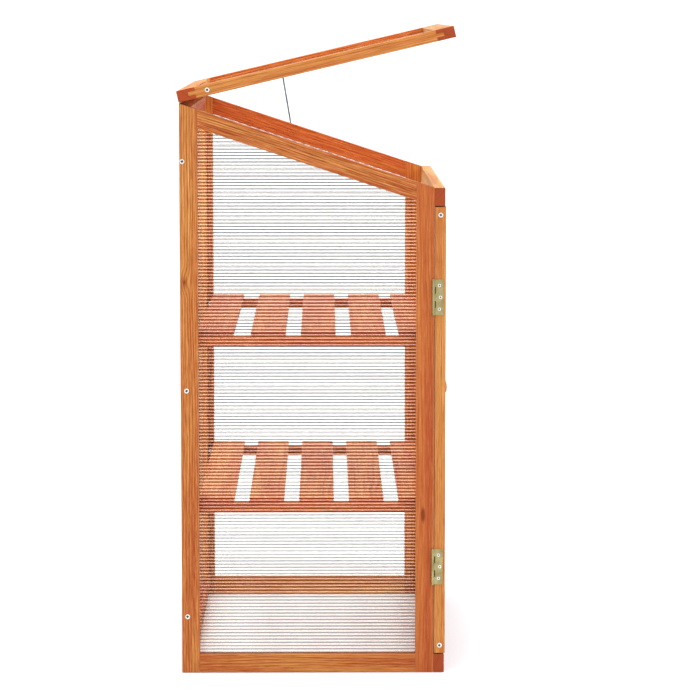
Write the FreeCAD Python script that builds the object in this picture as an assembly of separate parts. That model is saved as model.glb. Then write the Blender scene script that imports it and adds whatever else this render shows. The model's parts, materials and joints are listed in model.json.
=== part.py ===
import FreeCAD
import Part
import math
import os

# Wooden mini greenhouse: two side frames, a back frame, front rails and two doors hold clear sheets
# in grooves, slatted shelves lie on battens, and the roof is a lid that a wire prop holds open.
# Lengths are in mm. X is right and the doors face -Y. Inside this file u is the distance forward
# of the back face, and the origin is the bottom centre of the box round the open greenhouse.

# Carcass
width = 760.0
side_depth = 449.5
back_height = 1016.0
roof_drop = 148.0
side_thickness = 20.0
back_thickness = 20.0
front_rail_thickness = 19.0

# Widths of the frame members
post_width = 32.0
slope_rail_width = 31.0
bottom_rail_height = 33.0
stile_width = 32.0
back_top_rail_height = 32.0
front_top_rail_height = 32.0
edge_round = 1.2

# Mortise and tenon joints
tenon_thickness = 6.6
tenon_length = 12.0
tenon_inset = 5.0
tenon_to_groove = 1.0
joint_clearance = 0.2

# Clear sheets and their grooves
sheet_thickness = 4.0
sheet_bite = 7.0
groove_depth = 8.0
groove_clearance = 0.2

# Doors
door_thickness = 19.0
door_back_gap = 1.5
door_end_gap = 2.0
door_meeting_gap = 2.0
door_rail_height = 32.0

# Lid
lid_length = 500.0
lid_thickness = 20.0
lid_end_rail_width = 33.0
lid_side_rail_width = 32.0
lid_tenon_length = 13.0
lid_open_angle = 13.2
lid_rest_clearance = 0.4

# Shelves
shelf_heights = {"lower": 313.0, "upper": 611.5}
slat_shift = {"lower": 0.3, "upper": 3.7}
slat_count = 5
slat_width = 62.0
slat_thickness = 8.5
slat_end_clearance = 0.4
batten_width = 18.0
batten_height = 18.0

# Butt hinges, all alike
hinge_length = 63.5
hinge_leaf_width = 18.0
hinge_leaf_thickness = 1.2
hinge_barrel_radius = 2.5
hinge_pin_radius = 1.25
hinge_pin_clearance = 0.05
hinge_pin_head_radius = 2.1
hinge_pin_head_height = 0.8
hinge_knuckles = 5
hinge_knuckle_gap = 0.15
hinge_wood_clearance = 0.3
hinge_screw_pitch = 21.0
hinge_screw_reach = (10.5, 12.6, 10.5)
door_hinge_height = 191.8
door_hinge_drop = 193.5
lid_hinge_spacing = 480.0
lid_hinge_drop = 0.9

# Screws
hinge_screw = {"head": 2.8, "shank": 1.3, "length": 12.0}
frame_screw = {"head": 4.2, "shank": 1.8, "length": 42.0}
batten_screw = {"head": 3.6, "shank": 1.7, "length": 24.0}
slat_screw = {"head": 3.0, "shank": 1.4, "length": 18.0}
lid_screw = {"head": 4.0, "shank": 1.6, "length": 20.0}
knob_screw = {"head": 3.6, "shank": 1.7, "length": 28.0}
screw_clearance = 0.1
pivot_clearance = 0.05
pan_head_height = 1.8
pan_head_edge = 0.8
pan_head_gap = 0.2

# Places of the screws, from the edges that they follow, with shares of the back's height for the posts
post_screws = ((10.4, 0.1), (10.8, 0.5), (5.1, 0.9))
front_rail_screw_inset = 10.0
batten_screw_inset = 6.0
door_screw_inset = 14.0
lid_side_screw_at = 54.0

# Knobs and turn button
knob_height = 470.0
knob_foot_radius = 7.5
knob_neck = ((6.0, 2.0), (5.2, 5.5), (7.5, 8.0))
knob_head = ((10.4, 10.5), (10.8, 13.5), (8.6, 16.2))
knob_length = 17.0
button_height = 520.0
button_length = 60.0
button_width = 14.0
button_thickness = 6.0
button_gap = 0.3
button_screw_head = 4.0
button_screw_shank = 1.8
button_screw_length = 20.0

# Wire prop, its pivot on the lid and the peg that it stands on
prop_radius = 1.5
prop_side_gap = 0.3
prop_pivot_at = 176.0
prop_lean = 9.5
prop_length = 126.0
prop_screw_shank = 2.0
prop_screw_head = 4.5
prop_screw_bite = 13.0
prop_seat_angle = 30.0
prop_seat_gap = 0.3
peg_stand_out = 5.0
peg_rim_round = 0.6

# Worked out from the sizes above
half_width = width / 2
inner_half_width = half_width - side_thickness
front_height = back_height - roof_drop
roof_fall = roof_drop / side_depth
roof_angle = math.degrees(math.atan(roof_fall))
front_face = side_depth + front_rail_thickness
door_back = side_depth + door_back_gap
door_front = door_back + door_thickness
door_bottom = bottom_rail_height + door_end_gap
door_top = front_height - front_top_rail_height - door_end_gap
door_width = half_width - door_meeting_gap / 2
leaf_outer = hinge_barrel_radius + hinge_wood_clearance
leaf_inner = leaf_outer - hinge_leaf_thickness
door_axis_x = half_width + leaf_outer
door_axis_u = side_depth - leaf_inner
lid_axis_u = -leaf_outer
lid_axis_z = back_height + lid_rest_clearance
lid_open = math.radians(lid_open_angle)
lid_corner_u = lid_axis_u + leaf_outer * math.cos(lid_open) - lid_hinge_drop * math.sin(lid_open)
lid_corner_z = lid_axis_z + leaf_outer * math.sin(lid_open) + lid_hinge_drop * math.cos(lid_open)
lid_front_u = lid_corner_u + lid_length * math.cos(lid_open)
rear_u = lid_axis_u - hinge_barrel_radius
centre_u = (rear_u + lid_front_u) / 2

UP = FreeCAD.Vector(0, 0, 1)
RIGHT = FreeCAD.Vector(1, 0, 0)
FORWARD = FreeCAD.Vector(0, -1, 0)
ORIGIN = FreeCAD.Vector(0, 0, 0)


def at(x, u, z):
    """The point of the row frame at x, u forward of the back face, and height z."""
    return FreeCAD.Vector(x, centre_u - u, z)


def block(x0, x1, u0, u1, z0, z1):
    """A box in the greenhouse's own x, u, z."""
    corner = at(min(x0, x1), max(u0, u1), min(z0, z1))
    return Part.makeBox(abs(x1 - x0), abs(u1 - u0), abs(z1 - z0), corner)


def prism(points, low, high):
    """A flat outline in local a, b, drawn out along local c from low to high."""
    corners = [FreeCAD.Vector(a, b, low) for a, b in points]
    face = Part.Face(Part.makePolygon(corners + corners[:1]))
    return face.extrude(FreeCAD.Vector(0, 0, high - low))


def long_edges(shape, direction):
    """The straight edges of a shape that run along a direction."""
    found = []
    for edge in shape.Edges:
        along = edge.Vertexes[-1].Point.sub(edge.Vertexes[0].Point).normalize()
        if abs(abs(along.dot(direction)) - 1) < 1e-6:
            found.append(edge)
    return found


def eased(shape, direction):
    """A stick of wood with its long edges rounded."""
    return shape.makeFillet(edge_round, long_edges(shape, direction))


def axes_placement(origin, a_axis, b_axis):
    """The placement that turns local a, b, c into two given directions and their cross product."""
    c_axis = a_axis.cross(b_axis)
    matrix = FreeCAD.Matrix(
        a_axis.x, b_axis.x, c_axis.x, origin.x,
        a_axis.y, b_axis.y, c_axis.y, origin.y,
        a_axis.z, b_axis.z, c_axis.z, origin.z,
        0, 0, 0, 1,
    )
    return FreeCAD.Placement(matrix)


def moved(shape, placement):
    """A copy of a shape, with a placement applied to it."""
    copy = shape.copy()
    copy.Placement = placement.multiply(copy.Placement)
    return copy


def mirrored(shape):
    """The same shape on the other side of the greenhouse."""
    return shape.mirror(ORIGIN, RIGHT)


def panel_frame(length, start_height, end_height, thickness, stile, low_rail, high_rail, tenon, tenon_edge):
    """Two stiles, two rails between them and a sheet in their grooves, with a top that may slope.

    Local a runs from stile to stile, b up the stiles and c through the thickness.
    """
    fall = (end_height - start_height) / length
    square = math.sqrt(1 + fall * fall)
    middle = thickness / 2
    rail_direction = FreeCAD.Vector(1, fall, 0).normalize()

    def top(a, below=0.0):
        return start_height + fall * a - below * square

    def high_band(a0, a1, near, far):
        return [(a0, top(a0, far)), (a1, top(a1, far)), (a1, top(a1, near)), (a0, top(a0, near))]

    def low_band(a0, a1, near, far):
        return [(a0, near), (a1, near), (a1, far), (a0, far)]

    def opening(reach):
        a0 = stile - reach
        a1 = length - a0
        return [
            (a0, low_rail - reach),
            (a1, low_rail - reach),
            (a1, top(a1, high_rail - reach)),
            (a0, top(a0, high_rail - reach)),
        ]

    def tongue(band, rail, spare):
        reach = tenon + spare
        half = tenon_thickness / 2 + spare
        far = rail - groove_depth - tenon_to_groove + spare
        points = band(stile - reach, length - stile + reach, tenon_edge - spare, far)
        return prism(points, middle - half, middle + half)

    sheet = prism(opening(sheet_bite), middle - sheet_thickness / 2, middle + sheet_thickness / 2)
    groove_half = sheet_thickness / 2 + groove_clearance
    groove = prism(opening(groove_depth), middle - groove_half, middle + groove_half)
    mortises = [tongue(low_band, low_rail, joint_clearance), tongue(high_band, high_rail, joint_clearance)]

    def make_stile(a0, a1):
        stick = prism([(a0, 0), (a1, 0), (a1, top(a1)), (a0, top(a0))], 0, thickness)
        return eased(stick, FreeCAD.Vector(0, 1, 0)).cut(mortises + [groove])

    def make_rail(band, rail, direction):
        stick = eased(prism(band(stile, length - stile, 0, rail), 0, thickness), direction)
        return stick.fuse(tongue(band, rail, 0)).removeSplitter().cut(groove)

    return {
        "start_stile": make_stile(0, stile),
        "end_stile": make_stile(length - stile, length),
        "low_rail": make_rail(low_band, low_rail, FreeCAD.Vector(1, 0, 0)),
        "high_rail": make_rail(high_band, high_rail, rail_direction),
        "panel": sheet,
    }


def flat_screw(size, head, outward, spare=0.0):
    """A countersunk screw with its head's centre at a point, driven in against outward."""
    head_depth = size["head"] - size["shank"]
    radius = size["head"] + spare
    shank = size["shank"] + spare
    cone = Part.makeCone(shank, radius, head_depth, FreeCAD.Vector(0, 0, -head_depth))
    rod = Part.makeCylinder(shank, size["length"] + spare, FreeCAD.Vector(0, 0, -size["length"] - spare))
    screw = cone.fuse(rod).removeSplitter()
    if spare:
        screw = screw.fuse(Part.makeCylinder(radius, 1.0, ORIGIN))
    return moved(screw, FreeCAD.Placement(head, FreeCAD.Rotation(UP, outward)))


def pan_screw(head_radius, shank, under_head, bite, seat, outward):
    """A round-headed screw: bite is in the wood below the seat, and under_head stands above it."""
    rod = Part.makeCylinder(shank, bite + under_head, FreeCAD.Vector(0, 0, -bite))
    head = Part.makeCylinder(head_radius, pan_head_height, FreeCAD.Vector(0, 0, under_head))
    rim = [edge for edge in head.Edges if edge.BoundBox.ZMin > under_head + pan_head_height / 2]
    head = head.makeFillet(pan_head_edge, rim)
    return moved(rod.fuse(head), FreeCAD.Placement(seat, FreeCAD.Rotation(UP, outward)))


def pilot_hole(shank, bite, seat, outward):
    """The hole in the wood for a round-headed screw."""
    depth = bite + screw_clearance
    hole = Part.makeCylinder(shank + screw_clearance, depth, FreeCAD.Vector(0, 0, -depth))
    return moved(hole, FreeCAD.Placement(seat, FreeCAD.Rotation(UP, outward)))


def drilled(shape, holes):
    """A shape with those of the holes cut that reach into it."""
    near = [hole for hole in holes if shape.BoundBox.intersect(hole.BoundBox)]
    return shape.cut(near) if near else shape


def hinge_placements():
    """Each hinge as its two leaves' placements: the frame's leaf and the moving leaf."""
    leaves = {"frame": [], "left_door": [], "right_door": [], "lid": []}
    for height in (door_hinge_height, front_height - door_hinge_drop):
        foot = height - hinge_length / 2
        for side, name in ((-1, "left_door"), (1, "right_door")):
            axis = at(side * door_axis_x, door_axis_u, foot)
            leaves["frame"].append((axis, FORWARD, RIGHT * -side))
            leaves[name].append((axis, RIGHT * -side, FORWARD))
    for side in (-1, 1):
        end = side * lid_hinge_spacing / 2 - hinge_length / 2
        axis = at(end, lid_axis_u, lid_axis_z)
        leaves["frame"].append((axis, FORWARD, UP * -1))
        lid_forward = FORWARD * math.cos(lid_open) + UP * math.sin(lid_open)
        lid_up = UP * math.cos(lid_open) - FORWARD * math.sin(lid_open)
        leaves["lid"].append((axis, lid_forward, lid_up))
    return leaves


def leaf_frame(axis, normal, reach):
    """The placement of one hinge leaf, with local z always along +Z or +X."""
    third = normal.cross(reach)
    along = UP if abs(third.dot(UP)) > abs(third.dot(RIGHT)) else RIGHT
    start = axis if third.dot(along) > 0 else axis + along * hinge_length
    return axes_placement(start, normal, reach)


def knuckle_spans(own):
    """The stretches of the barrel that belong to one leaf, own being 0 or 1."""
    pitch = hinge_length / hinge_knuckles
    spans = []
    for number in range(own, hinge_knuckles, 2):
        low = number * pitch + (hinge_knuckle_gap / 2 if number else 0)
        high = (number + 1) * pitch - (hinge_knuckle_gap / 2 if number < hinge_knuckles - 1 else 0)
        spans.append((low, high))
    return spans


def hinge_leaf(own):
    """One leaf in local axes: x towards the wood, y along the leaf and z along the pin."""
    thickness = hinge_leaf_thickness
    leaf = Part.makeBox(thickness, hinge_leaf_width, hinge_length, FreeCAD.Vector(leaf_inner, 0, 0))
    relief = FreeCAD.Vector(hinge_barrel_radius, 0, 0)
    relief_width = leaf_inner + hinge_wood_clearance
    leaf = leaf.cut(Part.makeBox(hinge_wood_clearance, relief_width, hinge_length, relief))
    gap = hinge_knuckle_gap / 2
    notch = leaf_outer + hinge_wood_clearance
    for low, high in knuckle_spans(1 - own):
        size = high - low + 2 * gap
        corner = FreeCAD.Vector(-notch, -notch, low - gap)
        leaf = leaf.cut(Part.makeBox(2 * notch, 2 * notch, size, corner))
    for low, high in knuckle_spans(own):
        leaf = leaf.fuse(Part.makeCylinder(hinge_barrel_radius, high - low, FreeCAD.Vector(0, 0, low)))
    bore = Part.makeCylinder(hinge_pin_radius + hinge_pin_clearance, hinge_length, ORIGIN)
    return leaf.removeSplitter().cut(bore)


def hinge_pin():
    """The pin of a hinge, with a flat head at each end."""
    pin = Part.makeCylinder(hinge_pin_radius, hinge_length, ORIGIN)
    below = FreeCAD.Vector(0, 0, -hinge_pin_head_height)
    above = FreeCAD.Vector(0, 0, hinge_length)
    for foot in (below, above):
        pin = pin.fuse(Part.makeCylinder(hinge_pin_head_radius, hinge_pin_head_height, foot))
    return pin.removeSplitter()


def leaf_screws(normal_sign):
    """The head centres and outward directions of a leaf's screws, in the leaf's local axes."""
    face = leaf_outer if normal_sign > 0 else leaf_inner
    screws = []
    for number, reach in enumerate(hinge_screw_reach):
        along = hinge_length / 2 + (number - 1) * hinge_screw_pitch
        screws.append((FreeCAD.Vector(face, reach, along), FreeCAD.Vector(normal_sign, 0, 0)))
    return screws


class Screws:
    """Screws of one body, each with the hole that it needs."""

    def __init__(self):
        self.solids = []
        self.holes = []

    def add(self, size, head, outward):
        self.solids.append(flat_screw(size, head, outward))
        self.holes.append(flat_screw(size, head, outward, screw_clearance))

    def add_on_leaf(self, placement, normal_sign):
        for head, outward in leaf_screws(normal_sign):
            point = placement.multVec(head)
            self.add(hinge_screw, point, placement.Rotation.multVec(outward))


def side_frames():
    """The two side frames, the left one local and the right one its mirror image."""
    parts = panel_frame(
        side_depth, back_height, front_height, side_thickness,
        post_width, bottom_rail_height, slope_rail_width, tenon_length, tenon_inset,
    )
    placement = axes_placement(at(-inner_half_width, 0, 0), FORWARD, UP)
    names = {
        "start_stile": "back_post",
        "end_stile": "front_post",
        "low_rail": "bottom_rail",
        "high_rail": "top_rail",
        "panel": "panel",
    }
    nodes = {}
    for key, name in names.items():
        left = moved(parts[key], placement)
        nodes["left_" + name] = left
        nodes["right_" + name] = mirrored(left)
    return nodes


def under_roof(shape):
    """A shape cut off along the slope of the side frames."""
    reach = 2 * side_depth
    points = [(-reach, -reach), (reach, -reach), (reach, back_height - roof_fall * reach)]
    points.append((-reach, back_height + roof_fall * reach))
    wedge = prism(points, -half_width - reach, half_width + reach)
    return shape.common(moved(wedge, axes_placement(at(0, 0, 0), FORWARD, UP)))


def back_frame():
    """The frame between the side frames, with its top bevelled to the roof's slope."""
    parts = panel_frame(
        2 * inner_half_width, back_height, back_height, back_thickness,
        stile_width, bottom_rail_height, back_top_rail_height, tenon_length, tenon_inset,
    )
    placement = axes_placement(at(-inner_half_width, 0, 0), RIGHT, UP)
    placed = {key: moved(shape, placement) for key, shape in parts.items()}
    return {
        "back_left_stile": under_roof(placed["start_stile"]),
        "back_right_stile": under_roof(placed["end_stile"]),
        "back_bottom_rail": placed["low_rail"],
        "back_top_rail": under_roof(placed["high_rail"]),
        "back_panel": placed["panel"],
    }


def front_rails():
    """The rails that lie on the front posts, above and below the doors."""
    spans = {
        "front_bottom_rail": (0, bottom_rail_height),
        "front_top_rail": (front_height - front_top_rail_height, front_height),
    }
    return {
        name: eased(block(-half_width, half_width, side_depth, front_face, low, high), RIGHT)
        for name, (low, high) in spans.items()
    }


def slat_spans(level):
    """The u ranges of a shelf's slats: the outer two lie at the back stile and the front posts."""
    first = post_width
    last = side_depth - slat_width - slat_end_clearance
    pitch = (last - first) / (slat_count - 1)
    spans = []
    for number in range(slat_count):
        inner = 0 < number < slat_count - 1
        low = first + number * pitch + (slat_shift[level] if inner else 0)
        spans.append((low, low + slat_width))
    return spans


def shelves(screws):
    """Battens against the side frames, and the slats that lie on them."""
    nodes = {}
    battens = []
    slat_screws = Screws()
    for level, height in shelf_heights.items():
        under = height - slat_thickness
        for side in (-1, 1):
            outer = side * inner_half_width
            inner = side * (inner_half_width - batten_width)
            stick = block(inner, outer, back_thickness, side_depth, under - batten_height, under)
            battens.append(eased(stick, FORWARD))
            middle = under - batten_height / 2
            for u in (back_thickness + batten_screw_inset, side_depth - post_width / 2):
                screws.add(batten_screw, at(inner, u, middle), RIGHT * -side)
        for number, (near, far) in enumerate(slat_spans(level), start=1):
            end = inner_half_width - slat_end_clearance
            slat = eased(block(-end, end, near, far, under, height), RIGHT)
            for side in (-1, 1):
                x = side * (inner_half_width - batten_width / 2)
                slat_screws.add(slat_screw, at(x, (near + far) / 2, height), UP)
            nodes[f"{level}_slat_{number}"] = slat
    for name in nodes:
        nodes[name] = drilled(nodes[name], slat_screws.holes)
    battens = [drilled(drilled(stick, slat_screws.holes), screws.holes) for stick in battens]
    nodes["shelf_battens"] = Part.makeCompound(battens)
    nodes["slat_screws"] = Part.makeCompound(slat_screws.solids)
    return nodes


def knob():
    """A turned knob in local axes, standing up from its foot."""
    rim = [FreeCAD.Vector(radius, 0, height) for radius, height in knob_neck + knob_head]
    foot = FreeCAD.Vector(knob_foot_radius, 0, 0)
    crown = FreeCAD.Vector(0, 0, knob_length)
    curve = Part.BSplineCurve()
    curve.interpolate(rim)
    edges = [
        Part.makeLine(ORIGIN, foot),
        Part.makeLine(foot, rim[0]),
        curve.toShape(),
        Part.makeLine(rim[-1], crown),
        Part.makeLine(crown, ORIGIN),
    ]
    return Part.Face(Part.Wire(edges)).revolve(ORIGIN, UP, 360)


def left_door(leaves):
    """The left door's pieces, closed."""
    height = door_top - door_bottom
    parts = panel_frame(
        door_width, height, height, door_thickness,
        stile_width, door_rail_height, door_rail_height, tenon_length, tenon_inset,
    )
    placement = axes_placement(at(-half_width, door_back, door_bottom), RIGHT, UP)
    names = {
        "start_stile": "outer_stile",
        "end_stile": "meeting_stile",
        "low_rail": "bottom_rail",
        "high_rail": "top_rail",
        "panel": "panel",
    }
    nodes = {name: moved(parts[key], placement) for key, name in names.items()}
    meeting = -door_meeting_gap / 2
    stile_middle = meeting - stile_width / 2
    knob_place = axes_placement(at(stile_middle, door_front, knob_height), RIGHT, UP)
    nodes["knob"] = moved(knob(), knob_place)

    screws = Screws()
    middle_u = (door_back + door_front) / 2
    for z in (door_bottom + door_screw_inset, door_top - door_screw_inset):
        screws.add(frame_screw, at(-half_width, middle_u, z), RIGHT * -1)
        screws.add(frame_screw, at(meeting, middle_u, z), RIGHT)
    screws.add(knob_screw, at(stile_middle, door_back, knob_height), FORWARD * -1)
    leaf_parts = []
    for axis, normal, reach in leaves:
        frame = leaf_frame(axis, normal, reach)
        screws.add_on_leaf(frame, -1)
        leaf_parts.append(moved(hinge_leaf(0), frame))
    nodes["hinge_leaves"] = Part.makeCompound([drilled(leaf, screws.holes) for leaf in leaf_parts])
    for name in ("outer_stile", "meeting_stile", "bottom_rail", "top_rail", "knob"):
        nodes[name] = drilled(nodes[name], screws.holes)
    nodes["screws"] = Part.makeCompound(screws.solids)
    return nodes


def doors(leaves):
    """Both doors, and the turn button on the right one."""
    nodes = {}
    for name, shape in left_door(leaves["left_door"]).items():
        nodes["left_door_" + name] = shape
        nodes["right_door_" + name] = mirrored(shape)

    x = door_meeting_gap / 2 + stile_width / 2
    seat = at(x, door_front, button_height)
    under_head = button_gap + button_thickness + pan_head_gap
    screw = pan_screw(
        button_screw_head, button_screw_shank, under_head, button_screw_length - under_head, seat, FORWARD,
    )
    hole = pilot_hole(button_screw_shank, button_screw_length - under_head, seat, FORWARD)
    nodes["right_door_meeting_stile"] = nodes["right_door_meeting_stile"].cut(hole)
    nodes["right_door_screws"] = Part.makeCompound(nodes["right_door_screws"].Solids + [screw])

    straight = (button_length - button_width) / 2
    near = door_front + button_gap
    far = near + button_thickness
    half = button_width / 2
    bar = block(x - half, x + half, near, far, button_height - straight, button_height + straight)
    for end in (-straight, straight):
        foot = at(x, near, button_height + end)
        bar = bar.fuse(Part.makeCylinder(half, button_thickness, foot, FORWARD))
    bore = Part.makeCylinder(button_screw_shank + pivot_clearance, 3 * button_thickness, seat, FORWARD)
    nodes["turn_button"] = bar.removeSplitter().cut(bore)
    return nodes


def lid_placement():
    """Where the lid's local axes lie while the prop holds it open: a forward, b right and c up."""
    forward = FORWARD * math.cos(lid_open) + UP * math.sin(lid_open)
    return axes_placement(at(-half_width, lid_corner_u, lid_corner_z), forward, RIGHT)


def lid(leaves):
    """The lid's frame and sheet, its hinge leaves and its screws."""
    parts = panel_frame(
        lid_length, width, width, lid_thickness,
        lid_end_rail_width, lid_side_rail_width, lid_side_rail_width, lid_tenon_length, 0,
    )
    placement = lid_placement()
    names = {
        "start_stile": "lid_back_rail",
        "end_stile": "lid_front_rail",
        "low_rail": "lid_left_rail",
        "high_rail": "lid_right_rail",
        "panel": "lid_panel",
    }
    nodes = {name: moved(parts[key], placement) for key, name in names.items()}
    screws = Screws()
    for side in (-1, 1):
        across = half_width + side * half_width
        head = placement.multVec(FreeCAD.Vector(lid_side_screw_at, across, lid_thickness / 2))
        screws.add(lid_screw, head, RIGHT * side)
    leaf_parts = []
    for axis, normal, reach in leaves:
        frame = leaf_frame(axis, normal, reach)
        screws.add_on_leaf(frame, -1)
        leaf_parts.append(moved(hinge_leaf(1), frame))
    nodes["lid_hinge_leaves"] = Part.makeCompound([drilled(leaf, screws.holes) for leaf in leaf_parts])

    seat = prop_pivot()
    hole = pilot_hole(prop_screw_shank, prop_screw_bite, seat, RIGHT)
    for name in ("lid_back_rail", "lid_front_rail", "lid_left_rail", "lid_right_rail"):
        nodes[name] = drilled(nodes[name], screws.holes + [hole])
    nodes["lid_screws"] = Part.makeCompound(screws.solids)
    return nodes


def prop_pivot():
    """The point on the lid's right edge where the prop's screw enters."""
    return lid_placement().multVec(FreeCAD.Vector(prop_pivot_at, width, lid_thickness / 2))


def prop_foot():
    """The centre of the prop's rounded foot."""
    lean = math.radians(prop_lean)
    along = FORWARD * math.sin(lean) - UP * math.cos(lean)
    return prop_pivot() + along * prop_length


def rest_peg(seat):
    """The plain round peg in the right side frame that the prop stands on."""
    length = prop_screw_bite + peg_stand_out
    peg = Part.makeCylinder(prop_screw_shank, length, seat - RIGHT * prop_screw_bite, RIGHT)
    outer_rim = max(peg.Edges, key=lambda edge: edge.BoundBox.XMin)
    return peg.makeFillet(peg_rim_round, [outer_rim])


def prop():
    """The wire prop, its pivot screw and the peg that it stands on, and the peg's hole."""
    offset = RIGHT * (prop_side_gap + prop_radius)
    pivot = prop_pivot()
    top = pivot + offset
    foot = prop_foot() + offset
    bore = prop_screw_shank + pivot_clearance
    eye = Part.makeTorus(bore + prop_radius, prop_radius, top, RIGHT)
    along = (foot - top).normalize()
    start = top + along * (bore + prop_radius)
    wire = Part.makeCylinder(prop_radius, foot.distanceToPoint(start), start, along)
    rod = eye.fuse([wire, Part.makeSphere(prop_radius, foot)])
    rod = rod.cut(Part.makeCylinder(bore, 4 * prop_radius, top - RIGHT * (2 * prop_radius), RIGHT))

    under_head = prop_side_gap + 2 * prop_radius + pan_head_gap
    tilt = math.radians(prop_seat_angle)
    down = FORWARD * math.sin(tilt) - UP * math.cos(tilt)
    reach = prop_radius + prop_seat_gap + prop_screw_shank
    peg = prop_foot() + down * reach

    screw = pan_screw(prop_screw_head, prop_screw_shank, under_head, prop_screw_bite, pivot, RIGHT)
    nodes = {
        "prop_rod": rod,
        "prop_pivot_screw": screw,
        "prop_rest_peg": rest_peg(peg),
    }
    return nodes, pilot_hole(prop_screw_shank, prop_screw_bite, peg, RIGHT)


def carcass(leaves, peg_hole):
    """Everything that stands still."""
    frames = {**side_frames(), **back_frame(), **front_rails()}
    screws = Screws()
    nodes = shelves(screws)
    for side in (-1, 1):
        for u, share in post_screws:
            screws.add(frame_screw, at(side * half_width, u, share * back_height), RIGHT * side)
        x = side * (half_width - front_rail_screw_inset)
        for z in (bottom_rail_height / 2, front_height - front_top_rail_height / 2):
            screws.add(frame_screw, at(x, front_face, z), FORWARD)
    leaf_parts = []
    for number, (axis, normal, reach) in enumerate(leaves):
        frame = leaf_frame(axis, normal, reach)
        on_lid = abs(reach.dot(UP)) > 0.5
        screws.add_on_leaf(frame, -1 if on_lid else 1)
        leaf_parts.append(moved(hinge_leaf(0 if on_lid else 1), frame))
    nodes["frame_hinge_leaves"] = Part.makeCompound([drilled(leaf, screws.holes) for leaf in leaf_parts])
    nodes["hinge_pins"] = Part.makeCompound([moved(hinge_pin(), leaf_frame(*leaf)) for leaf in leaves])
    for name, shape in frames.items():
        nodes[name] = shape if name.endswith("panel") else drilled(shape, screws.holes + [peg_hole])
    nodes["carcass_screws"] = Part.makeCompound(screws.solids)
    return nodes


def greenhouse():
    """Every node of the greenhouse, with the lid open and the doors closed."""
    leaves = hinge_placements()
    nodes, peg_hole = prop()
    nodes.update(carcass(leaves["frame"], peg_hole))
    nodes.update(doors(leaves))
    nodes.update(lid(leaves["lid"]))
    return nodes


os.makedirs("parts", exist_ok=True)
for node, shape in greenhouse().items():
    shape.exportStep(f"parts/{node}.step")
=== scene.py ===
import json
import math
import random

import bmesh
import bpy
from mathutils import Matrix, Vector

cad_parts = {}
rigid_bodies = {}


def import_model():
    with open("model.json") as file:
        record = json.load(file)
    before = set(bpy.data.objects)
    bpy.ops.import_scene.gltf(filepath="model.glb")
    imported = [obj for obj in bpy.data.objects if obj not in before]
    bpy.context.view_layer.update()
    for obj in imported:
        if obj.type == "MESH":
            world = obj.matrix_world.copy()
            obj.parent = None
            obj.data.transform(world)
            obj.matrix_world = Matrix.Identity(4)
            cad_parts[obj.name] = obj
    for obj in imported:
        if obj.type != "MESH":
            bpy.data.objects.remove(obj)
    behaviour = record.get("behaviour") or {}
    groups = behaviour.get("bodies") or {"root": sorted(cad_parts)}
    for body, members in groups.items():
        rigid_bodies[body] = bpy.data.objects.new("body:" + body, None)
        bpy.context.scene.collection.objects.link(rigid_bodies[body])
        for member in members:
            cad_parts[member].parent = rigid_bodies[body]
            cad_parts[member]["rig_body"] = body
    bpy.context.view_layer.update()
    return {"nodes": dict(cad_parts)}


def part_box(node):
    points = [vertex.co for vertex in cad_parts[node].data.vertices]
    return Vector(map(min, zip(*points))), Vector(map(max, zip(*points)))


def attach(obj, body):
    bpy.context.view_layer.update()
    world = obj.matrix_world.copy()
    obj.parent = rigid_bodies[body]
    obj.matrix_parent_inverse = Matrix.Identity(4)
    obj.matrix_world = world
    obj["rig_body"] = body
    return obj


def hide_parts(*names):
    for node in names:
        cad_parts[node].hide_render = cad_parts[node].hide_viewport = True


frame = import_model()
nodes = frame["nodes"]

# Wooden mini greenhouse: the looks of its stained fir, clear twin-wall sheets and metal fittings,
# with the camera, floor and light. Lengths are in metres. X is right, the doors face -Y and the
# camera looks at the left side.

# Camera, from the perspective of the photograph
CAMERA_PLACE = (-5.7016, -0.0153, 1.1786)
CAMERA_AIM = (-0.380, -0.0563, 0.5845)
CAMERA_LENS = 156.5
CAMERA_NEAREST = 0.1
CAMERA_FARTHEST = 1000

# Slopes of the side frames' top rails and of the lid
ROOF_DROP = 0.1480
ROOF_RUN = 0.4495
ROOF_SLOPE = math.atan(ROOF_DROP / ROOF_RUN)
LID_SLOPE = math.radians(13.2)

X = Vector((1, 0, 0))
Y = Vector((0, 1, 0))
Z = Vector((0, 0, 1))
ROOF_ALONG = Vector((0, math.cos(ROOF_SLOPE), math.sin(ROOF_SLOPE)))
LID_ALONG = Vector((0, -math.cos(LID_SLOPE), math.sin(LID_SLOPE)))
LID_FACE = Vector((0, math.sin(LID_SLOPE), math.cos(LID_SLOPE)))

# Studio: the strength of the sky and of the brighter band in it
SKY = 1.06
LAMP_BAND = 1.0
# Each lamp's name, place, size, power in watts and colour. They are aimed at the middle of the greenhouse.
LAMPS = (
    ("key", (-3.2, -3.0, 2.6), (2.6, 2.2), 25, (1.0, 0.97, 0.92)),
    ("top", (-0.3, 0.4, 4.2), (3.0, 3.0), 110, (1.0, 0.95, 0.86)),
)
LAMPS_AIM = Vector((0, 0, 0.55))
FLOOR_REACH = 400
FLOOR_BELOW_FEET = 0.0004
FLOOR_DARK = (0.74, 0.79, 0.84, 1)
FLOOR_LIGHT = (0.76, 0.81, 0.86, 1)

# Grain of the wood: its rings, how far the pith lies from a board's middle and the knot in the near post
RING_SPACING = 0.0031
RING_WANDER = 0.014
PITH_NEAREST = 0.035
PITH_FARTHEST = 0.075
TREE_HEIGHT = 20
POST_KNOT = Vector((-0.380, 0.2325, 0.7010))
NO_KNOT = Vector((0, 0, 9))
KNOT_REACH = 0.016
KNOT_BULGE = 0.005
GRAIN_DEPTH = 0.0006

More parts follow.
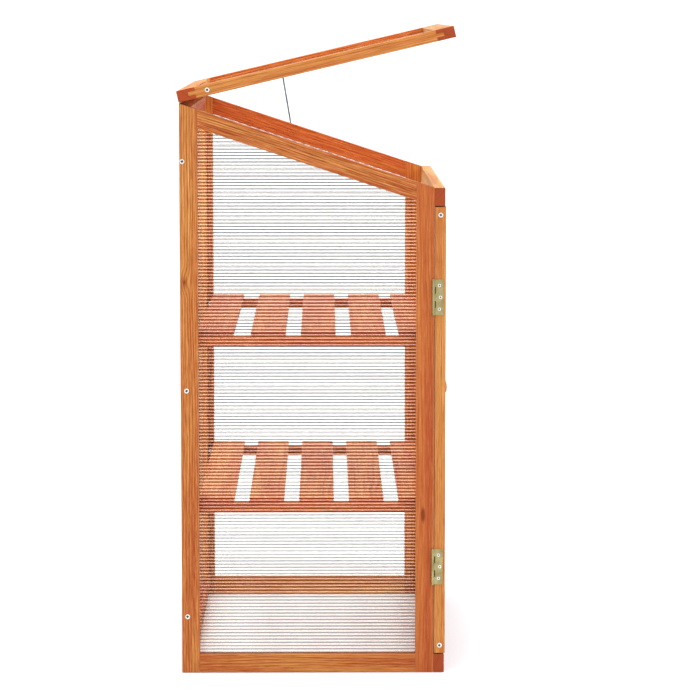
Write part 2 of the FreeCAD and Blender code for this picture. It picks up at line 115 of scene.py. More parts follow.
# Clear sheets
RIB_PITCH = 0.00593
RIB_WAIST = 0.0006
RIB_FOOT = 0.0013
RIB_FLARE = 0.0005
RIB_FROM_SKIN = 0.00005
RIB_END_GAP = 0.0004
# Faces of the sheets that one ray may cross. Light that falls inside crosses several sheets on its way.
SHEET_CROSSINGS = 64

# Door hinges: beside the barrel, painted shade stands for a dark slot along each knuckle of the other leaf
HINGE_LENGTH = 0.0635
KNUCKLE_LENGTH = HINGE_LENGTH / 5
SHADED_KNUCKLES = (2, 4)
SLOT_SHADE_FROM_BARREL_BACK = 0.0060
SLOT_SHADE_HALF_WIDTH = 0.0008

# Screws, with the recess's sizes as shares of the head's radius
SCREW_SIDES = 28
SCREW_RIM = 0.00025
RECESS_REACH = 0.68
RECESS_WIDTH = 0.27
RECESS_DEPTH = 0.75
RECESS_FOOT = 0.35
CUTTER_LIFT = 0.2

# Tolerances when solids and outlines are read from a mesh
SAME_POINT = 1e-6
SAME_LEVEL = 1e-5
STRAIGHT_TURN = 1e-10


def srgb(red, green, blue):
    """A display colour of 0 to 255 as the linear colour that a shader takes."""
    def linear(value):
        value /= 255
        return value / 12.92 if value <= 0.04045 else ((value + 0.055) / 1.055) ** 2.4

    return linear(red), linear(green), linear(blue), 1.0


# Colours of the stained fir. The painted warm light, which makes boards in shade redder and brighter, is
# multiplied into them.
PALE_STAIN = srgb(206, 156, 92)
YELLOW_STAIN = srgb(182, 121, 61)
ORANGE_STAIN = srgb(168, 93, 47)
RED_STAIN = srgb(154, 72, 38)
LATE_WOOD = srgb(109, 40, 16)
DARK_FIBRE = srgb(114, 45, 20)
PALE_FIBRE = srgb(195, 134, 83)
DARK_FLECK = srgb(91, 31, 15)
KNOT_HALO = srgb(127, 54, 24)
KNOT_CORE = srgb(84, 29, 15)
PIN_KNOT = srgb(97, 38, 18)
END_EARLY_WOOD = srgb(141, 60, 32)
END_LATE_WOOD = srgb(91, 29, 15)
END_FIBRE = srgb(163, 86, 50)
WORN_EDGE = srgb(200, 145, 98)
PAINTED_WARM_LIGHT = (1.28, 1.0, 0.78, 1)

# Colours of the clear sheets. The light lines are painted light, brighter than what lies behind them, and
# the dark lines are painted shade.
PAINTED_LIGHT_LINE = (1.20, 1.19, 1.175, 1)
PAINTED_DARK_LINE = (0.71, 0.71, 0.71, 1)
PLAIN_TINT = (0.97, 0.97, 0.965, 1)
SOFT_LIGHT_TINT = (0.998, 0.998, 0.998, 1)
# The milky colours are the plastic's own, with a warm tint that is a painted reflection of the wood inside.
MILKY_BRIGHT = (1.0, 0.87, 0.72, 1)
MILKY_SKIN_DULL = (0.95, 0.80, 0.65, 1)
MILKY_RIB_DULL = (0.92, 0.78, 0.63, 1)
SHEEN = (0.97, 0.95, 0.92, 1)

# Looks of the metals
# Painted shade for the slots beside the door hinges' barrels
SLOT_SHADE = srgb(46, 34, 20)
METAL_LOOKS = {
    "hinge_brass": {
        "bright": srgb(164, 151, 105),
        "dull": srgb(130, 118, 78),
        "metallic": 1.0,
        "smooth": 0.26,
        "rough": 0.42,
        "scale": 60,
    },
    "prop_wire": {
        "bright": srgb(118, 122, 126),
        "dull": srgb(66, 69, 72),
        "metallic": 0.9,
        "smooth": 0.32,
        "rough": 0.55,
        "scale": 120,
    },
    "bright_zinc": {
        "bright": srgb(240, 239, 234),
        "dull": srgb(196, 196, 190),
        "metallic": 1.0,
        "smooth": 0.22,
        "rough": 0.40,
        "scale": 160,
    },
    # Painted shade: a dark, matt colour for the faces inside the screws' recesses
    "recess_shade": {
        "bright": srgb(52, 48, 44),
        "dull": srgb(22, 20, 18),
        "metallic": 0.0,
        "smooth": 0.60,
        "rough": 0.80,
        "scale": 160,
    },
}


class Graph:
    """Adds shader nodes to a tree. An input is a plain value or another node's socket."""

    def __init__(self, tree):
        self.tree = tree

    def add(self, kind, inputs=(), **settings):
        node = self.tree.nodes.new("ShaderNode" + kind)
        for name, value in settings.items():
            setattr(node, name, value)
        for key, value in dict(inputs).items():
            if isinstance(value, bpy.types.NodeSocket):
                self.tree.links.new(value, node.inputs[key])
            else:
                node.inputs[key].default_value = value
        return node

    def math(self, operation, a, b=0.0, c=0.0):
        return self.add("Math", {0: a, 1: b, 2: c}, operation=operation).outputs[0]

    def vector_math(self, operation, a, b=(0, 0, 0)):
        return self.add("VectorMath", {0: a, 1: b}, operation=operation)

    def stretched(self, vector, along, across):
        """Coordinates scaled along the grain (X) and across it."""
        return self.add("Mapping", {"Vector": vector, "Scale": (along, across, across)}).outputs[0]

    def noise(self, vector, scale=1.0, detail=2.0, roughness=0.5):
        inputs = {"Vector": vector, "Scale": scale, "Detail": detail, "Roughness": roughness}
        return self.add("TexNoise", inputs).outputs[0]

    def rise(self, value, low, high):
        """A smooth step from 0 at low to 1 at high."""
        inputs = {"Value": value, "From Min": low, "From Max": high}
        return self.add("MapRange", inputs, interpolation_type="SMOOTHSTEP").outputs[0]

    def fall(self, value, low, high):
        """A smooth step from 1 at low to 0 at high."""
        return self.math("SUBTRACT", 1.0, self.rise(value, low, high))

    def mix(self, factor, a, b, blend="MIX"):
        node = self.add("Mix", {0: factor, 6: a, 7: b}, data_type="RGBA", blend_type=blend)
        return node.outputs[2]

    def overlay(self, colour, layers):
        """Lays colours over this one in turn. Each layer is a mask, its greatest share and a colour."""
        for mask, share, layer in layers:
            colour = self.mix(self.math("MULTIPLY", mask, share), colour, layer)
        return colour


def new_material(name):
    """A material with an empty tree and its output node."""
    material = bpy.data.materials.new(name)
    material.use_nodes = True
    material.node_tree.nodes.clear()
    graph = Graph(material.node_tree)
    return material, graph, graph.add("OutputMaterial")


def close(graph, output, shader):
    """Makes the shader the material's surface."""
    graph.tree.links.new(shader.outputs[0], output.inputs["Surface"])


# Stained fir
def wood_sockets(tree):
    """The sockets of the wood's node group."""
    inputs = [(name, "Vector") for name in ("Place", "Normal", "Knot")]
    inputs += [(name, "Float") for name in ("Tone", "Figure", "Painted_Warm_Light")]
    outputs = [("Color", "Color"), ("Roughness", "Float"), ("Height", "Float")]
    for way, sockets in (("INPUT", inputs), ("OUTPUT", outputs)):
        for name, kind in sockets:
            tree.interface.new_socket(name, in_out=way, socket_type="NodeSocket" + kind)


def knot_distance(graph, place, knot):
    """Distance from the knot's branch, which runs through the board's thickness."""
    away = graph.vector_math("SUBTRACT", place, knot).outputs[0]
    flat = graph.vector_math("MULTIPLY", away, (0.5, 1.0, 0.0)).outputs[0]
    return graph.vector_math("LENGTH", flat).outputs["Value"]


def growth_rings(graph, place, knot):
    """How dark the late wood of the rings round the pith is. Each ring has its own strength."""
    across = graph.vector_math("MULTIPLY", place, (0.0, 1.0, 1.0)).outputs[0]
    radius = graph.vector_math("LENGTH", across).outputs["Value"]
    wander = graph.noise(graph.stretched(place, 2.6, 14.0), detail=3.0)
    radius = graph.math("MULTIPLY_ADD", wander, RING_WANDER, radius)
    radius = graph.math("MULTIPLY_ADD", graph.fall(knot, 0.0, KNOT_REACH), KNOT_BULGE, radius)
    rings = graph.math("DIVIDE", radius, RING_SPACING)
    share = graph.math("FRACT", rings)
    late = graph.math("MULTIPLY", graph.rise(share, 0.30, 0.88), graph.fall(share, 0.92, 1.0))
    number = graph.math("FLOOR", rings)
    strength = graph.add("TexWhiteNoise", {"W": number}, noise_dimensions="1D").outputs["Value"]
    return graph.math("MULTIPLY", late, graph.math("MULTIPLY_ADD", strength, 0.75, 0.25))


def pin_knots(graph, place):
    """Small dark knots and resin streaks, longer along the grain."""
    inputs = {"Vector": graph.stretched(place, 4.6, 15.0), "Scale": 1.0}
    distance = graph.add("TexVoronoi", inputs).outputs["Distance"]
    return graph.fall(distance, 0.035, 0.085)


def stain(graph, tone):
    """The stain's colour, from pale over yellow and orange to red as the tone rises."""
    colour = graph.mix(graph.rise(tone, 0.0, 0.55), YELLOW_STAIN, ORANGE_STAIN)
    colour = graph.mix(graph.rise(tone, 0.45, 1.0), colour, RED_STAIN)
    return graph.mix(graph.fall(tone, -0.45, 0.0), colour, PALE_STAIN)


def end_grain(graph, late, fibre):
    """The darker colour of the boards' ends."""
    colour = graph.mix(late, END_EARLY_WOOD, END_LATE_WOOD)
    return graph.overlay(colour, [(fibre, 0.35, END_FIBRE)])


def wood_group():
    """The wood's colour, roughness and height, in grain space: X runs along the pith."""
    tree = bpy.data.node_groups.new("stained_fir", "ShaderNodeTree")
    wood_sockets(tree)
    graph = Graph(tree)
    start = tree.nodes.new("NodeGroupInput")
    end = tree.nodes.new("NodeGroupOutput")
    place = start.outputs["Place"]
    figure = start.outputs["Figure"]

    def figured(mask):
        return graph.math("MULTIPLY", mask, figure)

    knot = knot_distance(graph, place, start.outputs["Knot"])
    late = growth_rings(graph, place, knot)
    blotch = graph.noise(graph.stretched(place, 2.4, 30.0), detail=2.0)
    streak = graph.noise(graph.stretched(place, 4.0, 190.0), detail=3.0, roughness=0.6)
    fibre = graph.noise(graph.stretched(place, 26.0, 950.0), detail=4.0, roughness=0.65)
    fleck = graph.rise(graph.noise(graph.stretched(place, 80.0, 2100.0)), 0.63, 0.74)

    tone = graph.math("MULTIPLY_ADD", graph.math("SUBTRACT", blotch, 0.5), 1.5, start.outputs["Tone"])
    tone = graph.math("MULTIPLY_ADD", figured(graph.math("SUBTRACT", streak, 0.5)), 2.4, tone)
    colour = graph.overlay(stain(graph, tone), (
        (figured(late), 1.0, LATE_WOOD),
        (figured(graph.rise(fibre, 0.45, 0.70)), 0.85, DARK_FIBRE),
        (figured(graph.fall(fibre, 0.30, 0.50)), 0.80, PALE_FIBRE),
        (fleck, 0.45, DARK_FLECK),
        (graph.fall(knot, 0.0020, 0.0090), 0.40, KNOT_HALO),
        (graph.fall(knot, 0.0008, 0.0032), 0.60, KNOT_CORE),
        (pin_knots(graph, place), 0.75, PIN_KNOT),
    ))

    sides = graph.vector_math("ABSOLUTE", start.outputs["Normal"]).outputs[0]
    along, across, through = graph.add("SeparateXYZ", {0: sides}).outputs
    end_face = graph.rise(along, 0.80, 0.96)
    flattest = graph.math("MAXIMUM", along, graph.math("MAXIMUM", across, through))
    wear = graph.math("MULTIPLY", graph.fall(flattest, 0.86, 0.985), graph.rise(streak, 0.30, 0.65))
    colour = graph.overlay(colour, (
        (end_face, 1.0, end_grain(graph, late, fibre)),
        (wear, 0.55, WORN_EDGE),
    ))
    # Painted light: boards in shade are made redder and brighter.
    colour = graph.mix(start.outputs["Painted_Warm_Light"], colour, PAINTED_WARM_LIGHT, "MULTIPLY")

    roughness = graph.math("MULTIPLY_ADD", fibre, 0.20, 0.42)
    roughness = graph.math("MULTIPLY_ADD", end_face, 0.22, roughness)
    height = graph.math("MULTIPLY_ADD", late, 0.55, graph.math("MULTIPLY", fibre, 0.6))
    height = graph.math("MULTIPLY_ADD", fleck, -0.5, height)
    for name, value in (("Color", colour), ("Roughness", roughness), ("Height", height)):
        tree.links.new(value, end.inputs[name])
    return tree


def grain_turn(along, face):
    """The rotation into grain space: X along the grain and Z through the board's thickness."""
    return Matrix((along, face.cross(along), face))


def board_centre(name):
    low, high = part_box(name)
    return (low + high) / 2


def wood_material(group, name, along, face):
    """The wood of one board, with its own place in the tree."""
    chance = random.Random(name)
    turn = grain_turn(along, face)
    pith = Vector((
        chance.uniform(0, TREE_HEIGHT),
        chance.uniform(PITH_NEAREST, PITH_FARTHEST),
        chance.uniform(-PITH_FARTHEST, -PITH_NEAREST),
    ))
    shift = pith - turn @ board_centre(name)
    material, graph, output = new_material(name + "_wood")
    source = graph.add("TexCoord")
    place = graph.add("Mapping", {
        "Vector": source.outputs["Object"],
        "Location": shift,
        "Rotation": turn.to_euler(),
    })
    normal = graph.add("Mapping", {"Vector": source.outputs["Normal"], "Rotation": turn.to_euler()})
    wood = graph.add("Group", node_tree=group)
    graph.tree.links.new(place.outputs[0], wood.inputs["Place"])
    graph.tree.links.new(normal.outputs[0], wood.inputs["Normal"])
    wood.inputs["Knot"].default_value = turn @ POST_KNOT + shift if name == "left_back_post" else NO_KNOT
    wood.inputs["Tone"].default_value = board_tone(name)
    wood.inputs["Figure"].default_value = BOARD_FIGURES.get(name, PLAIN_FIGURE)
    wood.inputs["Painted_Warm_Light"].default_value = board_painted_warm_light(name)
    bump = graph.add("Bump", {"Height": wood.outputs["Height"], "Strength": 0.45, "Distance": GRAIN_DEPTH})
    shader = graph.add("BsdfPrincipled", {
        "Base Color": wood.outputs["Color"],
        "Roughness": wood.outputs["Roughness"],
        "Normal": bump.outputs[0],
        "Specular IOR Level": 0.05,
    })
    close(graph, output, shader)
    return material


def board_directions(name):
    """The grain's direction and the face's normal for a board, from its name."""
    if name in ("left_top_rail", "right_top_rail"):
        return ROOF_ALONG, X
    if name in ("lid_left_rail", "lid_right_rail"):
        return LID_ALONG, LID_FACE
    if name in ("lid_back_rail", "lid_front_rail"):
        return X, LID_FACE
    if name in ("left_bottom_rail", "right_bottom_rail", "shelf_battens"):
        return Y, X
    if "slat" in name:
        return X, Z
    if name in ("left_back_post", "left_front_post", "right_back_post", "right_front_post"):
        return Z, X
    if "stile" in name or "button" in name:
        return Z, Y
    if "knob" in name:
        return Y, Z
    return X, Y


# How red each board is, from 0, yellow, to 1, red. Below 0 it is pale.
BOARD_TONES = {
    "left_back_post": 0.38,
    "left_front_post": 0.62,
    "left_bottom_rail": 0.38,
    "left_top_rail": 0.45,
    "left_door_outer_stile": 0.08,
    "front_top_rail": -0.30,
    "lid_left_rail": 0.10,
    "lid_front_rail": 0.05,
    "lid_back_rail": 0.10,
    "right_top_rail": 0.80,
    "right_bottom_rail": -0.10,
    "right_front_post": 0.22,
    # Painted light: the far back post and stile are paler to offset the shade in their corner.
    "right_back_post": 0.10,
    "back_right_stile": 0.10,
}
# Ranges that the other boards' tones are drawn from. The lower slats' range is paler and yellower, painted
# light to offset the shade under the upper shelf.
LOWER_SLAT_TONES = (0.10, 0.40)
PLAIN_TONES = (0.55, 0.85)
# How bold the grain of some boards is, and of all others
BOARD_FIGURES = {
    "left_back_post": 0.85,
    "left_front_post": 0.45,
    "left_top_rail": 1.0,
    "left_bottom_rail": 0.80,
}
PLAIN_FIGURE = 0.65
# How much painted warm light boards inside, on the far side and at the back get against their shade, by the
# first of these words in a name
BOARD_PAINTED_WARM_LIGHTS = (("lower_slat", 1.0), ("upper_slat", 0.3), ("batten", 0.6), ("right_", 0.9), ("back_", 0.4))
WOODEN = ("post", "rail", "stile", "batten", "slat", "knob", "button")


def board_tone(name):
    """A board's tone from the list, or one drawn for it."""
    tones = LOWER_SLAT_TONES if "lower_slat" in name else PLAIN_TONES
    return BOARD_TONES.get(name, random.Random(name + "_tone").uniform(*tones))


def board_painted_warm_light(name):
    """How much painted warm light a board gets. The near side frame and the doors get none."""
    if name.startswith("left_") or "door" in name:
        return 0.0
    return next((painted_light for word, painted_light in BOARD_PAINTED_WARM_LIGHTS if word in name), 0.0)


def dress_wood():
    group = wood_group()
    for name, node in nodes.items():
        if any(word in name for word in WOODEN) and "screws" not in name:
            along, face = board_directions(name)
            paint(node, wood_material(group, name, along, face))


def paint(node, *materials):
    """Gives an object these materials and no others. A new mesh keeps its faces' choice of them."""
    if len(node.data.materials):
        node.data.materials.clear()
    for material in materials:
        node.data.materials.append(material)


# Metal
def hinge_slot_shade(graph, source):
    """How deep a point lies in the painted shade of a slot between a door leaf's plate and the other leaf's
    knuckles.
    """
    low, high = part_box("left_door_hinge_leaves")
    _, depth, level = graph.add("SeparateXYZ", {0: source}).outputs
    from_slot = graph.math("SUBTRACT", depth, high.y - SLOT_SHADE_FROM_BARREL_BACK)
    beside = graph.fall(graph.math("ABSOLUTE", from_slot), SLOT_SHADE_HALF_WIDTH * 0.8, SLOT_SHADE_HALF_WIDTH * 1.2)
    knuckles = 0.0
    for hinge_foot in (low.z, high.z - HINGE_LENGTH):
        for number in SHADED_KNUCKLES:
            middle = hinge_foot + (number - 0.5) * KNUCKLE_LENGTH
            from_middle = graph.math("ABSOLUTE", graph.math("SUBTRACT", level, middle))
            knuckle = graph.fall(from_middle, KNUCKLE_LENGTH * 0.46, KNUCKLE_LENGTH * 0.50)
            knuckles = graph.math("MAXIMUM", knuckle, knuckles)
    return graph.math("MULTIPLY", beside, knuckles)


def metal_material(look, slot_shaded=False):
    """Metal with cloudy tarnish and fine scratches, and painted shade for the slots where it is a door's
    hinge leaf.
    """
    values = METAL_LOOKS[look]
    scale = values["scale"]
    material, graph, output = new_material("slot_shaded_" + look if slot_shaded else look)
    source = graph.add("TexCoord").outputs["Object"]
    cloud = graph.noise(source, scale, detail=4.0, roughness=0.6)
    grit = graph.noise(source, scale * 22, detail=2.0)
    scratch = graph.noise(graph.stretched(source, scale * 2, scale * 30), detail=3.0)
    tarnish = graph.rise(graph.math("MULTIPLY_ADD", grit, 0.35, cloud), 0.50, 0.95)
    colour = graph.mix(tarnish, values["bright"], values["dull"])
    if slot_shaded:
        # Painted shade: the slot beside each listed knuckle is darkened in the colour.
        colour = graph.mix(hinge_slot_shade(graph, source), colour, SLOT_SHADE)
    roughening = values["rough"] - values["smooth"]
    roughness = graph.math("MULTIPLY_ADD", tarnish, roughening, values["smooth"])
    height = graph.math("MULTIPLY_ADD", scratch, 0.5, grit)
    bump = graph.add("Bump", {"Height": height, "Strength": 0.18, "Distance": 0.0002})
    shader = graph.add("BsdfPrincipled", {
        "Base Color": colour,
        "Roughness": roughness,
        "Normal": bump.outputs[0],
        "Metallic": values["metallic"],
    })
    close(graph, output, shader)
    return material


def dress_metal(zinc):
    """Hinges, their pins, and the prop with its peg and pivot screw."""
    brass = metal_material("hinge_brass")
    slot_shaded_brass = metal_material("hinge_brass", slot_shaded=True)
    wire = metal_material("prop_wire")
    for name, node in nodes.items():
        if "door_hinge_leaves" in name:
            paint(node, slot_shaded_brass)
        elif "hinge" in name:
            paint(node, brass)
        elif name == "prop_rod":
            paint(node, wire)
        elif name in ("prop_pivot_screw", "prop_rest_peg"):
            paint(node, zinc)


# Screws
def turned(profile, sides):
    """A closed mesh turned about Z from (radius, height) points that start and end on the axis."""
    mesh = bmesh.new()
    rings = []
    for radius, height in profile:
        if radius == 0:
            rings.append([mesh.verts.new((0, 0, height))])
            continue
        angles = [math.tau * number / sides for number in range(sides)]
        rings.append([mesh.verts.new((radius * math.cos(a), radius * math.sin(a), height)) for a in angles])
    for upper, lower in zip(rings, rings[1:]):
        for number in range(sides):
            following = (number + 1) % sides
            corners = [upper[number % len(upper)], lower[number % len(lower)]]
            corners += [lower[following % len(lower)], upper[following % len(upper)]]
            mesh.faces.new(list(dict.fromkeys(corners)))
    bmesh.ops.recalc_face_normals(mesh, faces=mesh.faces)
    return mesh


def recess_cutter(head):
    """A cross that narrows with depth, to cut a screw's driver recess."""
    cutter = bmesh.new()
    reach = head * RECESS_REACH
    half = head * RECESS_WIDTH
    for across in (X, Y):
        side = Z.cross(across)
        corners = [across * a * reach + side * b * half for a, b in ((-1, -1), (1, -1), (1, 1), (-1, 1))]
        top = [cutter.verts.new(p + Z * head * CUTTER_LIFT) for p in corners]
        foot = [cutter.verts.new(p * RECESS_FOOT - Z * head * RECESS_DEPTH) for p in corners]
        cutter.faces.new(top)
        cutter.faces.new(foot[::-1])
        for number in range(4):
            following = (number + 1) % 4
            cutter.faces.new((top[following], top[number], foot[number], foot[following]))
    bmesh.ops.recalc_face_normals(cutter, faces=cutter.faces)
    return cutter


def object_of(mesh, name):
    """A new object from a bmesh."""
    data = bpy.data.meshes.new(name)
    mesh.to_mesh(data)
    mesh.free()
    made = bpy.data.objects.new(name, data)
    bpy.context.scene.collection.objects.link(made)
    return made


def screw_mesh(head, shank, length):
    """A countersunk screw with a cross recess. Its flat top is at the origin and faces +Z."""
    cone_end = -SCREW_RIM - (head - shank)
    profile = ((0, 0), (head, 0), (head, -SCREW_RIM), (shank, cone_end), (shank, -length), (0, -length))
    body = object_of(turned(profile, SCREW_SIDES), "screw_body")
    cutter = object_of(recess_cutter(head), "screw_recess")
    cut = body.modifiers.new("recess", "BOOLEAN")
    cut.operation = "DIFFERENCE"
    cut.solver = "EXACT"
    cut.use_self = True
    cut.object = cutter
    depsgraph = bpy.context.evaluated_depsgraph_get()
    made = bpy.data.meshes.new_from_object(body.evaluated_get(depsgraph))
    for temporary in (body, cutter):
        bpy.data.objects.remove(temporary)
    # Faces inside the recess take the second material, which is painted shade.
    for face in made.polygons:
        inside = face.center.xy.length < head * RECESS_REACH and face.center.z < -SCREW_RIM / 10
        face.material_index = 1 if inside and face.normal.z > 0 else 0
    return made


def islands(mesh):
    """The points of each separate solid in a mesh."""
    source = bmesh.new()
    source.from_mesh(mesh)
    bmesh.ops.remove_doubles(source, verts=source.verts, dist=SAME_POINT)
    waiting = set(source.verts)
    found = []
    while waiting:
        edge_of_search = [waiting.pop()]
        solid = []
        while edge_of_search:
            vertex = edge_of_search.pop()
            solid.append(vertex.co.copy())
            for edge in vertex.link_edges:
                other = edge.other_vert(vertex)
                if other in waiting:
                    waiting.remove(other)
                    edge_of_search.append(other)
        found.append(solid)
    source.free()
    return found


def screw_axis(points):
    """A screw's top centre, its outward direction, head and shank radii and length."""
    middle = sum(points, Vector()) / len(points)

    def radius(point, direction):
        away = point - middle
        return (away - direction * away.dot(direction)).length

    def width(direction):
        return max(radius(p, direction) for p in points)

    axis = min((X, Y, Z, LID_ALONG, LID_FACE), key=width)
    ends = []
    for outward in (axis, -axis):
        far = max(p.dot(outward) for p in points)
        rim = [p for p in points if far - p.dot(outward) < SAME_LEVEL]
        ends.append((max(radius(p, axis) for p in rim), outward, far))
    (head, outward, far), (shank, _, other_far) = sorted(ends, key=lambda end: end[0], reverse=True)
    top = middle + outward * (far - middle.dot(outward))
    return top, outward, head, shank, far + other_far


def dress_screws(zinc):
    """Screws with cross recesses in place of the plain ones, their recess faces given painted shade."""
    recess = metal_material("recess_shade")
    shapes = {}
    for name, node in nodes.items():
        if not name.endswith("screws"):
            continue
        chance = random.Random(name)
        joined = bmesh.new()
        for points in islands(node.data):
            top, outward, head, shank, length = screw_axis(points)
            size = tuple(round(value, 5) for value in (head, shank, length))
            if size not in shapes:
                shapes[size] = screw_mesh(*size)
            placed = shapes[size].copy()
            spin = Matrix.Rotation(chance.uniform(0, math.pi / 2), 4, "Z")
            turn = outward.to_track_quat("Z", "Y").to_matrix().to_4x4()
            placed.transform(Matrix.Translation(top) @ turn @ spin)
            joined.from_mesh(placed)
            bpy.data.meshes.remove(placed)
        made = object_of(joined, name + "_recessed")
        paint(made, zinc, recess)
        stand_for(made, name)
    for shape in shapes.values():
        bpy.data.meshes.remove(shape)


def stand_for(made, name):
    """A made piece takes a CAD node's place on its body."""
    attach(made, nodes[name]["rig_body"])
    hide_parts(name)


# Clear twin-wall sheets
def see_through(graph, output, share, tint, shader):
    """Mixes a share of the shader into a tinted clear one. Lamps and soft light pass it almost whole."""
    path = graph.add("LightPath")
    soft = graph.math("MAXIMUM", path.outputs["Is Shadow Ray"], path.outputs["Is Diffuse Ray"])
    seen = graph.math("MULTIPLY", share, graph.math("SUBTRACT", 1.0, soft))
    clear = graph.add("BsdfTransparent", {"Color": graph.mix(soft, tint, SOFT_LIGHT_TINT)})
    close(graph, output, graph.add("MixShader", {0: seen, 1: clear.outputs[0], 2: shader.outputs[0]}))


def milky_plastic(graph, dull, cloud, roughness):
    """Cloudy plastic that is lit from both sides. Its warm tint is a painted reflection of the wood inside.
    """
    colour = graph.mix(cloud, dull, MILKY_BRIGHT)
    front = graph.add("BsdfPrincipled", {"Base Color": colour, "Roughness": roughness})
    behind = graph.add("BsdfTranslucent", {"Color": colour})
    return graph.add("MixShader", {0: 0.5, 1: front.outputs[0], 2: behind.outputs[0]})


def web_wave(graph, source, across, first_web):
    """A wave over the skin: 1 in front of each web and -1 halfway to the next."""
    level = graph.vector_math("DOT_PRODUCT", source, across).outputs["Value"]
    webs = graph.math("DIVIDE", graph.math("SUBTRACT", level, first_web), RIB_PITCH)
    return graph.math("COSINE", graph.math("MULTIPLY", webs, math.tau))


def skin_material(name, across, first_web):
    """A clear skin with painted light lines before its webs and painted shade lines between. Seen edge-on
    it reflects.
    """
    material, graph, output = new_material(name + "_skin")
    source = graph.add("TexCoord").outputs["Object"]
    wave = web_wave(graph, source, across, first_web)
    cloud = graph.noise(source, 9.0, detail=3.0)
    haze = graph.math("MULTIPLY_ADD", cloud, 0.06, 0.14)
    haze = graph.math("MULTIPLY", graph.rise(wave, 0.30, 0.95), haze)
    mirror = graph.add("Fresnel", {"IOR": 1.45}).outputs[0]
    edge_on = graph.rise(graph.add("LayerWeight", {"Blend": 0.5}).outputs["Facing"], 0.75, 1.0)
    share = graph.math("MULTIPLY_ADD", mirror, 0.15, haze)
    share = graph.math("MAXIMUM", share, graph.math("MULTIPLY", edge_on, 0.85))
    # Painted light and shade: the clear tint rises above 1 before each web and falls below it between.
    tint = graph.mix(graph.rise(wave, -0.40, 0.65), PAINTED_DARK_LINE, PAINTED_LIGHT_LINE)
    tint = graph.mix(graph.rise(mirror, 0.05, 0.30), tint, PLAIN_TINT)
    roughness = graph.math("MULTIPLY_ADD", graph.noise(source, 420.0), 0.08, 0.12)
    plastic = milky_plastic(graph, MILKY_SKIN_DULL, cloud, roughness)
    gloss = graph.add("BsdfGlossy", {"Color": SHEEN, "Roughness": 0.06})
    shader = graph.add("MixShader", {0: edge_on, 1: plastic.outputs[0], 2: gloss.outputs[0]})
    see_through(graph, output, share, tint, shader)
    return material


def rib_material():
    """The webs between the skins, which scatter more light."""
    material, graph, output = new_material("clear_rib")
    source = graph.add("TexCoord").outputs["Object"]
    cloud = graph.noise(source, 60.0, detail=3.0)
    share = graph.math("MULTIPLY_ADD", cloud, 0.05, 0.02)
    roughness = graph.math("MULTIPLY_ADD", cloud, 0.15, 0.18)
    see_through(graph, output, share, PLAIN_TINT, milky_plastic(graph, MILKY_RIB_DULL, cloud, roughness))
    return material


def outline_of(points):
    """The convex outline of flat points, in order."""
    points = sorted({(round(a, 6), round(b, 6)) for a, b in points})

    def half(ordered):
        chain = []
        for point in ordered:
            while len(chain) > 1 and turn_of(chain[-2], chain[-1], point) <= STRAIGHT_TURN:
                chain.pop()
            chain.append(point)
        return chain[:-1]

    return half(points) + half(points[::-1])


def turn_of(a, b, c):
    """Above 0 where the way from a over b to c turns left."""
    return (b[0] - a[0]) * (c[1] - a[1]) - (b[1] - a[1]) * (c[0] - a[0])


def crossing(outline, level):
    """Where a line at this level enters and leaves an outline."""
    found = []
    for (a0, b0), (a1, b1) in zip(outline, outline[1:] + outline[:1]):
        if min(b0, b1) < level < max(b0, b1):
            found.append(a0 + (a1 - a0) * (level - b0) / (b1 - b0))
    return min(found), max(found)


def add_shell(mesh, outline, low, high, place):
    """The sheet's closed outer shell, from low to high through its thickness."""
    near = [mesh.verts.new(place(a, b, low)) for a, b in outline]
    far = [mesh.verts.new(place(a, b, high)) for a, b in outline]
    mesh.faces.new(near[::-1])
    mesh.faces.new(far)
    for number in range(len(outline)):
        following = (number + 1) % len(outline)
        mesh.faces.new((near[number], near[following], far[following], far[number]))


def add_rib(mesh, start, end, level, low, high, place):
    """A web between the skins that widens into a fillet at each of them."""
    foot, waist = RIB_FOOT / 2, RIB_WAIST / 2
    upper = [(foot, low), (waist, low + RIB_FLARE), (waist, high - RIB_FLARE), (foot, high)]
    section = upper + [(-half, depth) for half, depth in reversed(upper)]
    near = [mesh.verts.new(place(start, level + half, depth)) for half, depth in section]
    far = [mesh.verts.new(place(end, level + half, depth)) for half, depth in section]
    faces = []
    for ring in (near, far):
        faces.append(mesh.faces.new((ring[0], ring[1], ring[6], ring[7])))
        faces.append(mesh.faces.new((ring[1], ring[2], ring[5], ring[6])))
        faces.append(mesh.faces.new((ring[2], ring[3], ring[4], ring[5])))
    for number in range(len(section)):
        following = (number + 1) % len(section)
        faces.append(mesh.faces.new((near[number], near[following], far[following], far[number])))
    for face in faces:
        face.material_index = 1


def twin_wall(name, along, face, rib):
    """A clear sheet: its two skins as one closed shell, with webs between them along the given way."""
    across = face.cross(along)

    def place(a, b, c):
        return along * a + across * b + face * c

    points = [vertex.co for vertex in nodes[name].data.vertices]
    outline = outline_of([(p.dot(along), p.dot(across)) for p in points])
    low = min(p.dot(face) for p in points)
    high = max(p.dot(face) for p in points)
    mesh = bmesh.new()
    add_shell(mesh, outline, low, high, place)
    bottom = min(b for _, b in outline)
    top = max(b for _, b in outline)
    for number in range(1, int((top - bottom) / RIB_PITCH)):
        level = bottom + number * RIB_PITCH
        start, end = crossing(outline, level)
        start += RIB_END_GAP
        end -= RIB_END_GAP
        if end - start < RIB_PITCH:
            continue
        add_rib(mesh, start, end, level, low + RIB_FROM_SKIN, high - RIB_FROM_SKIN, place)
    bmesh.ops.recalc_face_normals(mesh, faces=mesh.faces)
    made = object_of(mesh, name + "_twin_wall")
    paint(made, skin_material(name, across, bottom), rib)
    stand_for(made, name)


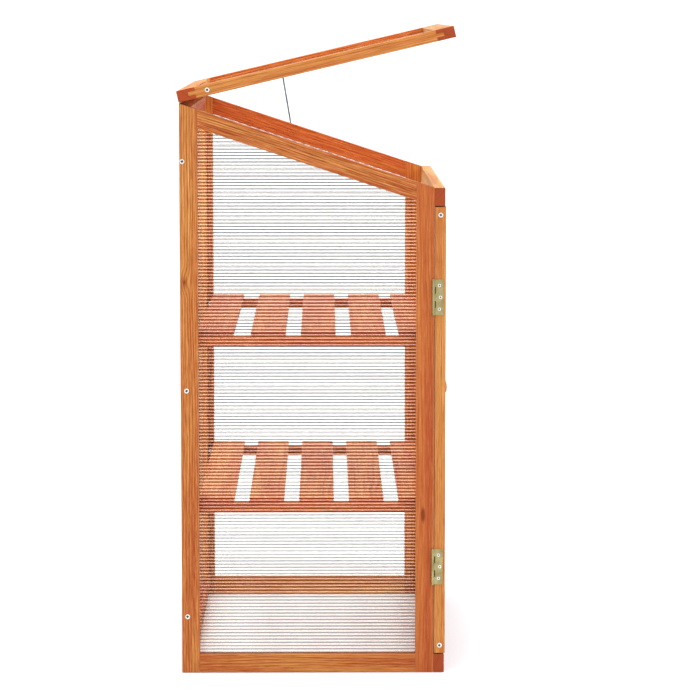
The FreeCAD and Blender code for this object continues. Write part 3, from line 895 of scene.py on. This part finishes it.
def dress_sheets():
    rib = rib_material()
    for name in ("left_panel", "right_panel"):
        twin_wall(name, Y, X, rib)
    for name in ("back_panel", "left_door_panel", "right_door_panel"):
        twin_wall(name, X, Y, rib)
    twin_wall("lid_panel", LID_ALONG, LID_FACE, rib)
    bpy.context.scene.cycles.transparent_max_bounces = SHEET_CROSSINGS


# Floor, light and camera
def pale_floor():
    """A wide floor just below the greenhouse's feet."""
    mesh = bmesh.new()
    bmesh.ops.create_grid(mesh, x_segments=8, y_segments=8, size=FLOOR_REACH)
    floor = object_of(mesh, "pale_floor")
    floor.location.z = -FLOOR_BELOW_FEET
    material, graph, output = new_material("pale_floor")
    source = graph.add("TexCoord").outputs["Object"]
    mottle = graph.noise(source, 3.0, detail=3.0)
    colour = graph.mix(mottle, FLOOR_DARK, FLOOR_LIGHT)
    close(graph, output, graph.add("BsdfPrincipled", {"Base Color": colour, "Roughness": 0.9}))
    paint(floor, material)


def soft_light(name, place, size, power, colour):
    """A rectangular area lamp."""
    lamp = bpy.data.lights.new(name, "AREA")
    lamp.color = colour
    lamp.shape = "RECTANGLE"
    lamp.size, lamp.size_y = size
    lamp.energy = power
    made = bpy.data.objects.new(name, lamp)
    made.location = place
    made.rotation_euler = (LAMPS_AIM - Vector(place)).to_track_quat("-Z", "Y").to_euler()
    bpy.context.scene.collection.objects.link(made)


def white_studio():
    """A soft white sky with a brighter band above the horizon, and the lamps."""
    world = bpy.data.worlds.new("white_studio")
    world.use_nodes = True
    graph = Graph(world.node_tree)
    direction = graph.add("TexCoord").outputs["Generated"]
    height = graph.add("SeparateXYZ", {0: direction}).outputs[2]
    band = graph.math("MULTIPLY", graph.rise(height, 0.08, 0.32), graph.fall(height, 0.60, 0.92))
    strength = graph.math("MULTIPLY_ADD", band, LAMP_BAND, SKY)
    sky = world.node_tree.nodes["Background"]
    sky.inputs["Color"].default_value = (1, 1, 1, 1)
    world.node_tree.links.new(strength, sky.inputs["Strength"])
    scene = bpy.context.scene
    scene.world = world
    scene.view_settings.view_transform = "Standard"
    for lamp in LAMPS:
        soft_light(*lamp)


def camera():
    made = bpy.data.objects.new("camera", bpy.data.cameras.new("camera"))
    made.data.lens = CAMERA_LENS
    made.data.clip_start = CAMERA_NEAREST
    made.data.clip_end = CAMERA_FARTHEST
    made.location = CAMERA_PLACE
    made.rotation_euler = (Vector(CAMERA_AIM) - Vector(CAMERA_PLACE)).to_track_quat("-Z", "Y").to_euler()
    bpy.context.scene.collection.objects.link(made)
    bpy.context.scene.camera = made


dress_wood()
bright_zinc = metal_material("bright_zinc")
dress_metal(bright_zinc)
dress_screws(bright_zinc)
dress_sheets()
pale_floor()
white_studio()
camera()
